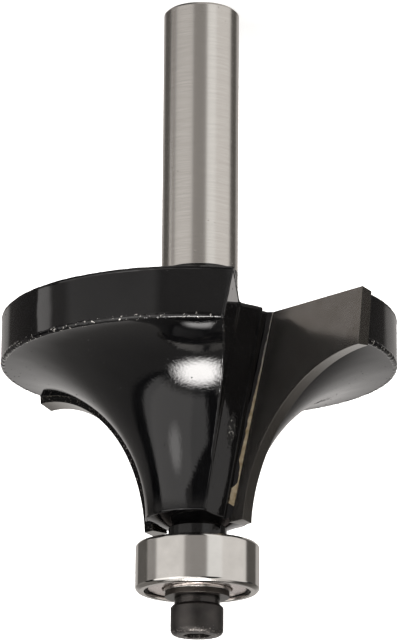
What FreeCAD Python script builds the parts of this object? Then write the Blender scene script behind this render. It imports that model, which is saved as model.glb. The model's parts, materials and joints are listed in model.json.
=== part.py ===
import FreeCAD, Part
import math
import os
import re
import Sketcher

# Round-over router bit with a pilot bearing, millimetres.
# Frame: the shank's end stands on the floor, the origin is its centre, +Z runs up to the cutter, and
# wing A's cutting edge points to +X. The bit cuts turning positive about +Z.
# "Height above the top" below is counted from body_top, the cutter body's plane on the shank's side.

doc = FreeCAD.newDocument("round_over_bit")

SIZES = [
    ("shank_diameter", "8", "plain round shank"),
    ("shank_chamfer", "0.3", "edge break on the shank's end"),
    ("body_top", "34.05", "length of shank below the cutter body"),
    ("round_radius", "15", "radius that the edge leaves on the work"),
    ("cutting_length", "22", "working length of the carbide"),
    ("foot_land", "0.8", "straight land of the edge, past the round"),
    ("rim_setback", "0.81", "body rim inside the cutting radius"),
    ("hollow_setback", "0.98", "hollow flank of the body behind the cutting edge"),
    ("edge_break", "0.2", "break on the body's sharp rim edges"),
    ("cone_height", "0.93", "cone between the hollow and the collar"),
    ("pilot_gap", "1.73", "bearing beyond the carbide"),
    ("collar_share", "0.156", "shoulder under the inner ring, as a share of the bearing's section"),
    ("journal_short", "0.228", "stub shorter than the inner ring, so that the washer clamps the ring"),
    ("journal_break", "0.2", "lead on the stub's end"),
    ("fit_gap", "0.01", "radial gap of the stub in the inner ring"),
    ("shear_angle", "7", "lean of the cutting face, degrees"),
    ("rake_offset", "3.18", "cutting face behind the axis at the top"),
    ("carbide_thickness", "2", "thickness of each tip"),
    ("clearance_angle", "10", "clearance ground behind the cutting edge, degrees"),
    ("braze_gap", "0.12", "brazed joint"),
    ("braze_fillet", "0.45", "fillet of braze along the tip's inner edge"),
    ("seat_top", "7.45", "floor of the tip's seat from the axis, at the top"),
    ("seat_bite", "1.206", "seat floor inside the foot of the hollow"),
    ("seat_front", "1.37", "front wall of the seat behind the axis, at the top"),
    ("seat_lean", "0.0717", "shift of that wall per mm of height"),
    ("floor_top", "8.25", "gullet floor from the axis, at the top"),
    ("floor_bite", "1", "gullet floor inside the foot of the hollow"),
    ("wall_angle", "45", "wall of the gullet from the X axis, degrees"),
    ("wall_offset", "6.44", "where that wall would meet the X axis, at the top"),
    ("wall_lean", "0.243", "its shift per mm of height"),
    ("gullet_fillet", "0.6", "corner between gullet floor and wall"),
    ("cut_over", "1", "room by which the milled spaces run past the body"),
    ("ring_diameter", "12.7", "bearing outside diameter"),
    ("bore_diameter", "4.7625", "bearing bore"),
    ("ring_width", "4.978", "bearing width"),
    ("ring_chamfer", "0.3", "chamfer on the outer ring"),
    ("bore_chamfer", "0.15", "chamfer in the inner ring"),
    ("ball_share", "0.6", "ball diameter as a share of the bearing's section"),
    ("ball_count", "7", "balls in the bearing"),
    ("race_gap", "0.03", "gap between ball and race"),
    ("groove_ease", "0.07", "race groove's radius beyond the ball's"),
    ("groove_share", "0.41", "depth of the race grooves as a share of the ball's radius"),
    ("step_depth", "0.2", "steps of the inner ring beside the shields"),
    ("step_room", "0.07", "those steps reach in past the shields"),
    ("seat_ledge", "0.35", "ledge of the outer ring under each shield"),
    ("shield_recess", "0.33", "shield face inside the ring face"),
    ("shield_thickness", "0.2", "sheet of the shields"),
    ("shield_gap", "0.2", "gap round the inner ring"),
    ("cage_gap", "0.3", "gap of the ball cage to both rings"),
    ("cage_end_gap", "0.15", "gap of the ball cage to the outer shield"),
    ("cage_share", "0.5", "claws of the cage past the balls' plane, as a share of the ball's radius"),
    ("pocket_gap", "0.06", "gap round each ball in the cage"),
    ("washer_setback", "0.133", "washer's edge inside that of the inner ring's face"),
    ("washer_thickness", "0.55", "sheet of the washer"),
    ("spacer_diameter", "4.66", "ring under the screw's head"),
    ("spacer_width", "0.8", "length of that ring"),
    ("washer_gap", "0.1", "radial gap of washer and ring round the screw"),
    ("screw_diameter", "3", "metric thread M3"),
    ("thread_gap", "0.02", "radial gap in the tapped hole"),
    ("screw_length", "10", "under the head"),
    ("tap_room", "3.58", "tapped hole past the screw's end"),
    ("head_diameter", "5.4", "round head"),
    ("head_height", "3.14", "its height"),
    ("head_round", "0.6", "round on its top edge"),
    ("head_chamfer", "0.28", "break on its underside and on the thread's end"),
    ("socket_width", "2.5", "hexagon socket across flats"),
    ("socket_depth", "1.5", "depth of the socket"),
    ("socket_turn", "15", "turn of the socket's first corner from the X axis, degrees"),
]
DERIVED = [
    ("shank_radius", "=shank_diameter / 2"),
    ("tip_radius", "=ring_diameter / 2 + round_radius"),
    ("rim_radius", "=tip_radius - rim_setback"),
    ("body_hollow", "=round_radius + hollow_setback"),
    ("hollow_foot", "=tip_radius - body_hollow"),
    ("round_centre", "=cutting_length - foot_land"),
    ("arc_level", "=body_top + round_centre"),
    ("rim_level", "=arc_level - sqrt(body_hollow^2 - rim_setback^2)"),
    ("collar_radius", "=bore_diameter / 2 + collar_share * (ring_diameter - bore_diameter) / 2"),
    ("collar_low", "=arc_level + cone_height"),
    ("collar_top", "=body_top + cutting_length + pilot_gap"),
    ("journal_radius", "=bore_diameter / 2 - fit_gap"),
    ("journal_top", "=collar_top + ring_width - journal_short"),
    ("floor_slope", "=(floor_top - hollow_foot + floor_bite) / round_centre"),
    ("seat_slope", "=(seat_top - hollow_foot + seat_bite) / round_centre"),
    ("cut_low", "=0 - cut_over"),
    ("cut_high", "=cutting_length + 2 * cut_over"),
    ("cut_far", "=2 * tip_radius"),
    ("clearance_drop", "=carbide_thickness * tan(clearance_angle * 1deg)"),
    ("back_tip", "=tip_radius - clearance_drop"),
    ("back_round", "=round_radius + clearance_drop"),
    ("ring_top", "=collar_top + ring_width"),
    ("ball_level", "=collar_top + ring_width / 2"),
    ("ball_radius", "=ball_share * (ring_diameter - bore_diameter) / 4"),
    ("pitch_radius", "=(ring_diameter + bore_diameter) / 4"),
    ("groove_radius", "=ball_radius + groove_ease"),
    ("race_depth", "=groove_share * ball_radius"),
    ("outer_floor", "=pitch_radius + ball_radius + race_gap"),
    ("inner_floor", "=pitch_radius - ball_radius - race_gap"),
    ("outer_land", "=outer_floor - race_depth"),
    ("inner_land", "=inner_floor + race_depth"),
    ("race_half", "=sqrt(groove_radius^2 - (groove_radius - race_depth)^2)"),
    ("shield_depth", "=shield_recess + shield_thickness"),
    ("shield_seat", "=outer_land + seat_ledge"),
    ("inner_step", "=inner_land - step_depth"),
    ("step_width", "=shield_depth + step_room"),
    ("cage_inner", "=inner_land + cage_gap"),
    ("cage_outer", "=outer_land - cage_gap"),
    ("cage_low", "=ball_level - cage_share * ball_radius"),
    ("cage_top", "=ring_top - shield_depth - cage_end_gap"),
    ("washer_radius", "=inner_step - washer_setback"),
    ("washer_bore", "=screw_diameter / 2 + washer_gap"),
    ("washer_top", "=ring_top + washer_thickness"),
    ("head_level", "=washer_top + spacer_width"),
    ("head_top", "=head_level + head_height"),
    ("screw_end", "=head_level - screw_length"),
    ("tapped_floor", "=screw_end - tap_room"),
    ("tapped_radius", "=screw_diameter / 2 + thread_gap"),
]

sheet = doc.addObject("Spreadsheet::Sheet", "Sizes")
for row, entry in enumerate(SIZES + DERIVED, 1):
    sheet.set("A%d" % row, entry[0])
    sheet.set("B%d" % row, entry[1])
    sheet.setAlias("B%d" % row, entry[0])
    if len(entry) > 2:
        sheet.set("C%d" % row, entry[2])
doc.recompute()

WORDS = {entry[0] for entry in SIZES + DERIVED}


def size(text):
    """Writes a formula of size names as an expression on the spreadsheet."""
    return re.sub("[a-z_]+", lambda word: "Sizes." * (word.group() in WORDS) + word.group(), text)


def value(text):
    """The number that such a formula gives now."""
    result = sheet.evalExpression(size(text))
    return float(getattr(result, "Value", result))


def bind(thing, prop, text):
    """Binds one property of an object to a formula of size names."""
    thing.setExpression(prop, size(text))


def arc_between(start, end, radius, centre_left):
    """Arc of the given radius; its centre lies left or right of the way from start to end."""
    along = end - start
    left = FreeCAD.Vector(-along.y, along.x, 0).normalize()
    height = math.sqrt(radius ** 2 - (along.Length / 2) ** 2)
    centre = (start + end) * 0.5 + left * (height if centre_left else -height)
    first, last = (start, end) if centre_left else (end, start)
    angles = [math.atan2(p.y - centre.y, p.x - centre.x) for p in (first, last)]
    return Part.ArcOfCircle(Part.Circle(centre, FreeCAD.Vector(0, 0, 1), radius), *angles)


def outline(sketch, corners, arcs=None):
    """Closes a sketch through corners, pairs of formulas; arcs maps a side to its radius and centre side."""
    arcs = arcs or {}
    points = [FreeCAD.Vector(value(x), value(y), 0) for x, y in corners]
    ends = []
    for i, start in enumerate(points):
        end = points[(i + 1) % len(points)]
        if i not in arcs:
            side = sketch.addGeometry(Part.LineSegment(start, end), False)
            ends.append((side, 1, 2))
            continue
        radius, centre_left = arcs[i]
        side = sketch.addGeometry(arc_between(start, end, value(radius), centre_left), False)
        ends.append((side, 1, 2) if centre_left else (side, 2, 1))
    for i, (side, first, last) in enumerate(ends):
        following, following_first, _ = ends[(i + 1) % len(ends)]
        sketch.addConstraint(Sketcher.Constraint("Coincident", side, last, following, following_first))
    for i, (x, y) in enumerate(corners):
        side, first, _ = ends[i]
        for kind, text, axis, number in (("X", x, -2, points[i].x), ("Y", y, -1, points[i].y)):
            if text == "0":
                sketch.addConstraint(Sketcher.Constraint("PointOnObject", side, first, axis))
                continue
            index = sketch.addConstraint(Sketcher.Constraint("Distance" + kind, -1, 1, side, first, number))
            bind(sketch, "Constraints[%d]" % index, text)
    for i, (radius, _) in arcs.items():
        index = sketch.addConstraint(Sketcher.Constraint("Radius", ends[i][0], value(radius)))
        bind(sketch, "Constraints[%d]" % index, radius)
    return sketch


def origin_plane(body, role):
    """The body's own origin plane with the given role."""
    return [plane for plane in body.Origin.OriginFeatures if plane.Role == role][0]


def turned(name, corners, arcs=None):
    """A body turned about Z from a closed half section; the corners are radius and height."""
    body = doc.addObject("PartDesign::Body", name)
    body.Label = name
    sketch = body.newObject("Sketcher::SketchObject", name + "_section")
    sketch.AttachmentSupport = [(origin_plane(body, "XZ_Plane"), "")]
    sketch.MapMode = "FlatFace"
    outline(sketch, corners, arcs)
    revolve = body.newObject("PartDesign::Revolution", name + "_turned")
    revolve.Profile = sketch
    revolve.ReferenceAxis = (sketch, ["V_Axis"])
    revolve.Angle = 360
    sketch.Visibility = False
    body.Tip = revolve
    return body


def level_section(name, height, corners, arcs=None):
    """A closed sketch on a level plane at a height above the top."""
    sketch = doc.addObject("Sketcher::SketchObject", name)
    bind(sketch, ".Placement.Base.z", "body_top + " + height)
    return outline(sketch, corners, arcs)


def straight_loft(name, sections):
    """A solid with straight sides between two like sections."""
    loft = doc.addObject("Part::Loft", name)
    loft.Sections = sections
    loft.Solid = True
    loft.Ruled = True
    return loft


def feature(kind, name, half_turn=False, **links):
    """A Part feature with its links; half_turn places it round the axis, for wing B."""
    thing = doc.addObject(kind, name)
    for prop, target in links.items():
        setattr(thing, prop, target)
    if half_turn:
        thing.Placement = FreeCAD.Placement(FreeCAD.Vector(), FreeCAD.Rotation(FreeCAD.Vector(0, 0, 1), 180))
    return thing


# Shank, cutter body, collar and stub with its tapped hole: one turned piece before milling.
blank = turned("body_blank", [
    ("0", "0"),
    ("shank_radius - shank_chamfer", "0"),
    ("shank_radius", "shank_chamfer"),
    ("shank_radius", "body_top"),
    ("rim_radius - edge_break", "body_top"),
    ("rim_radius", "body_top + edge_break"),
    ("rim_radius", "rim_level"),
    ("hollow_foot", "arc_level"),
    ("collar_radius", "collar_low"),
    ("collar_radius", "collar_top"),
    ("journal_radius", "collar_top"),
    ("journal_radius", "journal_top - journal_break"),
    ("journal_radius - journal_break", "journal_top"),
    ("tapped_radius", "journal_top"),
    ("tapped_radius", "tapped_floor"),
    ("0", "tapped_floor - tapped_radius / 2"),
], {6: ("body_hollow", False)})

# The two gullets: floor, wall and cutting face, each a leaning plane, so each gullet is one straight-sided
# loft between a section below the body and one above it. The tips' seats are made the same way.
def rake_line(height):
    return "(tan(shear_angle * 1deg) * %s - rake_offset)" % height


def floor_line(height):
    return "(floor_top - floor_slope * %s)" % height


def seat_floor(height):
    return "(seat_top - seat_slope * %s)" % height


def seat_back(height):
    return "(%s - (carbide_thickness + braze_gap) / cos(shear_angle * 1deg))" % rake_line(height)


def wall_line(radius, height):
    return "((%s - wall_offset + wall_lean * %s) * tan(wall_angle * 1deg))" % (radius, height)


def gullet_section(name, height):
    floor = floor_line(height)
    corner = wall_line(floor, height)
    run = "gullet_fillet * tan((90 - wall_angle) / 2 * 1deg)"
    wall_end = ("%s + %s * cos(wall_angle * 1deg)" % (floor, run),
                "%s + %s * sin(wall_angle * 1deg)" % (corner, run))
    return level_section(name, height, [
        (floor, rake_line(height)),
        ("cut_far", rake_line(height)),
        ("cut_far", wall_line("cut_far", height)),
        wall_end,
        (floor, "%s - %s" % (corner, run)),
    ], {3: ("gullet_fillet", False)})


def seat_section(name, height, front):
    return level_section(name, height, [
        (seat_floor(height), seat_back(height)),
        ("cut_far", seat_back(height)),
        ("cut_far", front),
        (seat_floor(height), front),
    ])


def milled_seat(name, height):
    return seat_section(name, height, "seat_lean * %s - seat_front" % height)


gullet = straight_loft("gullet_space", [gullet_section("gullet_low", "cut_low"),
                                        gullet_section("gullet_high", "cut_high")])
seat = straight_loft("seat_space", [milled_seat("seat_low", "cut_low"), milled_seat("seat_high", "cut_high")])
cuts = [feature("Part::MultiFuse", "milled_a", Shapes=[gullet, seat]),
        feature("Part::MultiFuse", "milled_b", half_turn=True, Shapes=[gullet, seat])]
both_cuts = feature("Part::Compound", "milled_spaces", Links=cuts)
cutter_body = feature("Part::Cut", "cutter_body", Base=blank, Tool=both_cuts)


# A carbide tip: its front outline lies in the cutting face and carries the true cutting profile, the back
# outline is drawn in by the clearance angle.
def face_sketch(name, behind, reach, arc):
    sketch = doc.addObject("Sketcher::SketchObject", name)
    sketch.Placement.Rotation = FreeCAD.Rotation(FreeCAD.Vector(1, 0, 0), 90)
    bind(sketch, ".Placement.Rotation.Angle", "90deg - shear_angle * 1deg")
    bind(sketch, ".Placement.Base.y", "0 - rake_offset - %s * cos(shear_angle * 1deg)" % behind)
    bind(sketch, ".Placement.Base.z", "body_top + %s * sin(shear_angle * 1deg)" % behind)

    def up(height):
        return "(%s - %s * sin(shear_angle * 1deg)) / cos(shear_angle * 1deg)" % (height, behind)

    def out(radius, height):
        offset = ("(rake_offset - %s * tan(shear_angle * 1deg) + %s / cos(shear_angle * 1deg))"
                  % (height, behind))
        return "sqrt((%s)^2 - %s^2)" % (radius, offset)

    def inner(height):
        return "braze_gap + %s" % seat_floor(height)

    start = "(round_centre - sqrt(%s^2 - (tip_radius - %s)^2))" % (arc, reach)
    foot = "(tip_radius - %s)" % arc
    return outline(sketch, [
        (inner("0"), up("0")),
        (out(reach, "0"), up("0")),
        (out(reach, start), up(start)),
        (out(foot, "round_centre"), up("round_centre")),
        (out(foot, "cutting_length"), up("cutting_length")),
        (inner("cutting_length"), up("cutting_length")),
    ], {2: (arc, False)})


tip = straight_loft("tip_loft", [face_sketch("tip_front", "0", "tip_radius", "round_radius"),
                                 face_sketch("tip_back", "carbide_thickness", "back_tip", "back_round")])
carbides = [feature("Part::Compound", "carbide_a", Links=[tip]),
            feature("Part::Compound", "carbide_b", half_turn=True, Links=[tip])]


# The braze: a thin layer behind and under the tip, and a bead along its inner edge.
def layer_section(name, height):
    return seat_section(name, height, rake_line(height))


def bead_section(name, height):
    floor = seat_floor(height)
    face = rake_line(height)
    return level_section(name, height, [
        (floor, face),
        (floor + " + braze_fillet", face),
        (floor, face + " + braze_fillet"),
    ])


layer = straight_loft("braze_layer", [layer_section("layer_low", "cut_low"),
                                      layer_section("layer_high", "cutting_length")])
bead = straight_loft("braze_bead", [bead_section("bead_low", "cut_low"),
                                    bead_section("bead_high", "cutting_length")])
braze_block = feature("Part::MultiFuse", "braze_block", Shapes=[layer, bead])
braze_trim = feature("Part::Common", "braze_trim", Base=braze_block, Tool=blank)
brazes = [feature("Part::Cut", "braze_a", Base=braze_trim, Tool=tip),
          feature("Part::Cut", "braze_b", half_turn=True, Base=braze_trim, Tool=tip)]

# Pilot bearing: outer ring with shield seats, inner ring with steps, two shields, balls and crown cage.
outer_ring = turned("outer_ring", [
    ("shield_seat", "collar_top"),
    ("ring_diameter / 2 - ring_chamfer", "collar_top"),
    ("ring_diameter / 2", "collar_top + ring_chamfer"),
    ("ring_diameter / 2", "ring_top - ring_chamfer"),
    ("ring_diameter / 2 - ring_chamfer", "ring_top"),
    ("shield_seat", "ring_top"),
    ("shield_seat", "ring_top - shield_depth"),
    ("outer_land", "ring_top - shield_depth"),
    ("outer_land", "ball_level + race_half"),
    ("outer_land", "ball_level - race_half"),
    ("outer_land", "collar_top + shield_depth"),
    ("shield_seat", "collar_top + shield_depth"),
], {8: ("groove_radius", False)})
inner_ring = turned("inner_ring", [
    ("bore_diameter / 2 + bore_chamfer", "collar_top"),
    ("inner_step", "collar_top"),
    ("inner_step", "collar_top + step_width"),
    ("inner_land", "collar_top + step_width"),
    ("inner_land", "ball_level - race_half"),
    ("inner_land", "ball_level + race_half"),
    ("inner_land", "ring_top - step_width"),
    ("inner_step", "ring_top - step_width"),
    ("inner_step", "ring_top"),
    ("bore_diameter / 2 + bore_chamfer", "ring_top"),
    ("bore_diameter / 2", "ring_top - bore_chamfer"),
    ("bore_diameter / 2", "collar_top + bore_chamfer"),
], {4: ("groove_radius", False)})


def shield(name, low):
    return turned(name, [
        ("inner_step + shield_gap", low),
        ("shield_seat", low),
        ("shield_seat", low + " + shield_thickness"),
        ("inner_step + shield_gap", low + " + shield_thickness"),
    ])


shields = [shield("shield_inner", "collar_top + shield_recess"),
           shield("shield_outer", "ring_top - shield_depth")]


def ball(number):
    """One ball at its place round the bearing."""
    sphere = doc.addObject("Part::Sphere", "ball_%d" % (number + 1))
    bind(sphere, "Radius", "ball_radius")
    bind(sphere, ".Placement.Base.x", "pitch_radius * cos(360deg * %d / ball_count)" % number)
    bind(sphere, ".Placement.Base.y", "pitch_radius * sin(360deg * %d / ball_count)" % number)
    bind(sphere, ".Placement.Base.z", "ball_level")
    return sphere


balls = [ball(number) for number in range(int(value("ball_count")))]


def plane_sketch(body, name, role, level):
    """A sketch on one of the body's origin planes, moved along its normal by a formula."""
    sketch = body.newObject("Sketcher::SketchObject", name)
    sketch.AttachmentSupport = [(origin_plane(body, role), "")]
    sketch.MapMode = "FlatFace"
    bind(sketch, ".AttachmentOffset.Base.z", level)
    return sketch


# The cage is open towards the collar: its claws close round each ball past the widest point.
cage = turned("ball_cage", [
    ("cage_inner", "cage_low"),
    ("cage_outer", "cage_low"),
    ("cage_outer", "cage_top"),
    ("cage_inner", "cage_top"),
])
pocket_sketch = plane_sketch(cage, "pocket_outline", "YZ_Plane", "0")
circle = Part.Circle(FreeCAD.Vector(0, value("ball_level"), 0), FreeCAD.Vector(0, 0, 1), value("ball_radius"))
pocket_sketch.addGeometry(circle, False)
pocket_sketch.addConstraint(Sketcher.Constraint("PointOnObject", 0, 3, -2))
for links, text in ((("DistanceY", -1, 1, 0, 3), "ball_level"), (("Radius", 0), "ball_radius + pocket_gap")):
    index = pocket_sketch.addConstraint(Sketcher.Constraint(*links, value(text)))
    bind(pocket_sketch, "Constraints[%d]" % index, text)
pocket = cage.newObject("PartDesign::Pocket", "ball_pocket")
pocket.Profile = pocket_sketch
pocket.Reversed = True
bind(pocket, "Length", "outer_land")
pockets = cage.newObject("PartDesign::PolarPattern", "ball_pockets")
pockets.Originals = [pocket]
pockets.Axis = (pocket_sketch, ["V_Axis"])
pockets.Angle = 360
bind(pockets, "Occurrences", "ball_count")
cage.Tip = pockets

# Washer on the inner ring, small ring on the washer, and the socket head screw that clamps both.
washer = turned("clamp_washer", [
    ("washer_bore", "ring_top"),
    ("washer_radius", "ring_top"),
    ("washer_radius", "washer_top"),
    ("washer_bore", "washer_top"),
])
spacer = turned("spacer_ring", [
    ("washer_bore", "washer_top"),
    ("spacer_diameter / 2", "washer_top"),
    ("spacer_diameter / 2", "head_level"),
    ("washer_bore", "head_level"),
])
screw = turned("cap_screw", [
    ("0", "screw_end"),
    ("screw_diameter / 2 - head_chamfer", "screw_end"),
    ("screw_diameter / 2", "screw_end + head_chamfer"),
    ("screw_diameter / 2", "head_level"),
    ("head_diameter / 2 - head_chamfer", "head_level"),
    ("head_diameter / 2", "head_level + head_chamfer"),
    ("head_diameter / 2", "head_top - head_round"),
    ("head_diameter / 2 - head_round", "head_top"),
    ("0", "head_top"),
], {6: ("head_round", True)})
socket_sketch = plane_sketch(screw, "socket_outline", "XY_Plane", "head_top")
outline(socket_sketch, [("socket_width / sqrt(3) * cos(socket_turn * 1deg + %ddeg)" % angle,
                         "socket_width / sqrt(3) * sin(socket_turn * 1deg + %ddeg)" % angle)
                        for angle in range(0, 360, 60)])
socket = screw.newObject("PartDesign::Pocket", "socket")
socket.Profile = socket_sketch
bind(socket, "Length", "socket_depth")
screw.Tip = socket

doc.recompute()

NODES = ([cutter_body] + carbides + brazes + [outer_ring, inner_ring] + shields + balls
         + [cage, washer, spacer, screw])

for thing in doc.Objects:
    faults = [word for word in thing.State if word in ("Invalid", "Error")]
    if faults:
        raise SystemExit("%s is %s" % (thing.Name, faults))

os.makedirs("parts", exist_ok=True)
for node in NODES:
    node.Label = node.Name
    shape = node.Shape
    if not shape.isValid() or len(shape.Solids) != 1:
        raise SystemExit("%s: valid %s, solids %d" % (node.Name, shape.isValid(), len(shape.Solids)))
    shape.exportStep("parts/%s.step" % node.Name)
    box = shape.BoundBox
    print("%-14s %9.2f mm3  x %7.2f %7.2f  y %7.2f %7.2f  z %7.2f %7.2f" % (
        node.Name, shape.Volume, box.XMin, box.XMax, box.YMin, box.YMax, box.ZMin, box.ZMax))
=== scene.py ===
import json
import math

import bmesh
import bpy
from mathutils import Matrix, Vector, noise


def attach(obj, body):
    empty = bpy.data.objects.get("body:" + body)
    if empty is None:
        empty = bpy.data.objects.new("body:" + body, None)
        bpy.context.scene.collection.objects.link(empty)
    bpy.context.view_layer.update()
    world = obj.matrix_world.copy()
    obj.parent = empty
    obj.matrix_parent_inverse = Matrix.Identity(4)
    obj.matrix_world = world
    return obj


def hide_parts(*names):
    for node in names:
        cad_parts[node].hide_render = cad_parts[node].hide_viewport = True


# Looks of the round-over router bit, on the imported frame: metres, +Z up, the shank's end on the floor.
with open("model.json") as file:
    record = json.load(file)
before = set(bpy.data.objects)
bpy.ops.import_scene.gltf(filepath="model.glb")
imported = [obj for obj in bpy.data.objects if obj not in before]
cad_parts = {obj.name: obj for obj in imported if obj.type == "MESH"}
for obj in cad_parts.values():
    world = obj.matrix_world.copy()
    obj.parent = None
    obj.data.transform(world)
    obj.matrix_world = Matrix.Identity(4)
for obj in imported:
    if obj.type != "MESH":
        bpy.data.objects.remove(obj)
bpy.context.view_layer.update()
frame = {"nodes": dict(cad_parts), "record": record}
nodes = frame["nodes"]
MM = 0.001

# Camera: it looks slightly down, with its upright turned over, because the photograph shows the shank
# upwards and the part stands on its shank. A camera fitted to the photograph gives its place.
VIEW_CENTRE = Vector((0.05, -0.05, 33.92)) * MM
VIEW_AZIMUTH = math.radians(41.5)
VIEW_ELEVATION = math.radians(15.66)
VIEW_ROLL = math.radians(0.44)
VIEW_DISTANCE = 359.5 * MM
FOCAL_LENGTH = 194.1

towards = Vector((math.cos(VIEW_AZIMUTH) * math.cos(VIEW_ELEVATION),
                  math.sin(VIEW_AZIMUTH) * math.cos(VIEW_ELEVATION),
                  math.sin(VIEW_ELEVATION)))
across = Vector((math.sin(VIEW_AZIMUTH), -math.cos(VIEW_AZIMUTH), 0))
upright = towards.cross(across)
right = across * math.cos(VIEW_ROLL) + upright * math.sin(VIEW_ROLL)
upright = towards.cross(right)
camera = bpy.data.objects.new("camera", bpy.data.cameras.new("camera"))
camera.data.lens = FOCAL_LENGTH
camera.data.clip_end = 10
camera.matrix_world = (Matrix.Translation(VIEW_CENTRE + towards * VIEW_DISTANCE)
                       @ Matrix((right, upright, towards)).transposed().to_4x4())
bpy.context.scene.collection.objects.link(camera)
bpy.context.scene.camera = camera


# Studio: a pale paper floor, lit from below, in a tent of pale and dark cards, which give round steel its
# upright bands. A softbox stands at the left front and a light hangs overhead. The floor is left out of
# mirror reflections, so that the tent shows in them all round. Sides are degrees from the camera's own.
def linear(text):
    """The linear colour of an sRGB hex value."""
    shares = [int(text[i:i + 2], 16) / 255 for i in (0, 2, 4)]
    return [s / 12.92 if s <= 0.04045 else ((s + 0.055) / 1.055) ** 2.4 for s in shares] + [1]


def add(tree, kind, settings=None, stops=None, **inputs):
    """Adds a node: its settings, a ramp's stops of (place, sRGB hex), and its inputs, each a value or a
    socket, by name or, as in i0, by number."""
    node = tree.nodes.new(kind)
    for name, setting in (settings or {}).items():
        setattr(node, name, setting)
    for name, given in inputs.items():
        key = int(name[1:]) if name[1:].isdigit() else name.replace("_", " ")
        if isinstance(given, bpy.types.NodeSocket):
            tree.links.new(given, node.inputs[key])
        else:
            node.inputs[key].default_value = given
    if stops:
        elements = node.color_ramp.elements
        while len(elements) < len(stops):
            elements.new(1)
        for element, (place, tone) in zip(elements, stops):
            element.position = place
        for element, (place, tone) in zip(elements, stops):
            element.color = linear(tone)
    return node


# A few stock card tones hang round the tent, one row at the foot and one above it.
WHITE_CARD, PALE_CARD, LIGHT_CARD, MID_CARD = "f5f3f1", "dedad7", "b8b4b1", "989491"
GREY_CARD, DARK_CARD, BLACK_CARD, BLACK_CLOTH = "7c7976", "5a5754", "303030", "0c0c0c"
LOW_PANELS = ((-180, -146, LIGHT_CARD), (-146, -107, DARK_CARD), (-107, -82, MID_CARD), (-82, -24, PALE_CARD),
              (-24, 18, MID_CARD), (18, 46, WHITE_CARD), (46, 102, PALE_CARD), (102, 138, DARK_CARD),
              (138, 180, LIGHT_CARD))
HIGH_PANELS = ((-180, -112, GREY_CARD), (-112, -86, BLACK_CLOTH), (-86, -14, MID_CARD), (-14, 44, BLACK_CARD),
               (44, 104, PALE_CARD), (104, 122, BLACK_CARD), (122, 142, DARK_CARD), (142, 180, GREY_CARD))
PANEL_SEAM = 3


def sides(panels):
    """The ramp stops for panels round the tent, with a soft seam between each two."""
    stops = []
    for start, end, tone in panels:
        for side in (start + PANEL_SEAM * (start > -180), end - PANEL_SEAM * (end < 180)):
            stops.append(((side + 180) / 360, tone))
    return stops


tent = bpy.data.worlds.new("studio tent")
tent.use_nodes = True
tree = tent.node_tree
tree.nodes.clear()
direction = add(tree, "ShaderNodeTexCoord").outputs["Generated"]
turned = add(tree, "ShaderNodeMapping", {"vector_type": "POINT"}, Vector=direction,
             Rotation=(0, 0, math.pi - VIEW_AZIMUTH))
axes = add(tree, "ShaderNodeSeparateXYZ", None, Vector=turned.outputs[0])
# With the axes turned half round, the side comes from the X and Y of the direction seen from the back.
back_side = add(tree, "ShaderNodeMath", {"operation": "ARCTAN2"}, i0=axes.outputs["Y"],
                i1=axes.outputs["X"]).outputs[0]
front_x = add(tree, "ShaderNodeMath", {"operation": "MULTIPLY"}, i0=axes.outputs["X"], i1=-1.0).outputs[0]
side = add(tree, "ShaderNodeMath", {"operation": "ARCTAN2"}, i0=axes.outputs["Y"], i1=front_x).outputs[0]
height = add(tree, "ShaderNodeMath", {"operation": "ARCSINE"}, i0=axes.outputs["Z"]).outputs[0]
back_off = add(tree, "ShaderNodeMath", {"operation": "ABSOLUTE"}, i0=back_side).outputs[0]


def lit(bright, *edges):
    """A light on the tent, or a shade if it is negative: each soft edge is a value in radians with its
    angle in degrees on the dark side and on the lit side."""
    share = bright
    for value, outside, inside in edges:
        edge = add(tree, "ShaderNodeMapRange", {"interpolation_type": "SMOOTHSTEP"}, Value=value,
                   From_Min=math.radians(outside), From_Max=math.radians(inside))
        share = add(tree, "ShaderNodeMath", {"operation": "MULTIPLY"}, i0=edge.outputs[0],
                    i1=share).outputs[0]
    return share


round_share = add(tree, "ShaderNodeMapRange", None, Value=side, From_Min=-math.pi,
                  From_Max=math.pi).outputs[0]
low = add(tree, "ShaderNodeValToRGB", None, sides(LOW_PANELS), Fac=round_share).outputs[0]
high = add(tree, "ShaderNodeValToRGB", None, sides(HIGH_PANELS), Fac=round_share).outputs[0]
upper_row = lit(1.0, (height, -13, -3))
walls = add(tree, "ShaderNodeMix", {"data_type": "RGBA"}, i0=upper_row, i6=low, i7=high)

# The floor is dark at the left and under the camera, and the foot of the left pale panel is a little dark.
FLOOR_SHADE, FOOT_SHADE = -0.86, -0.3
shade = 1.0
for part in (lit(FLOOR_SHADE, (height, -24, -34), (side, -172, -160), (side, -72, -84)),
             lit(FLOOR_SHADE, (height, -24, -34), (side, -26, -18), (side, 22, 14)),
             lit(FOOT_SHADE, (side, -86, -78), (side, -14, -22), (height, -12, -20), (height, -34, -24))):
    shade = add(tree, "ShaderNodeMath", {"operation": "ADD"}, i0=part, i1=shade).outputs[0]

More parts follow.
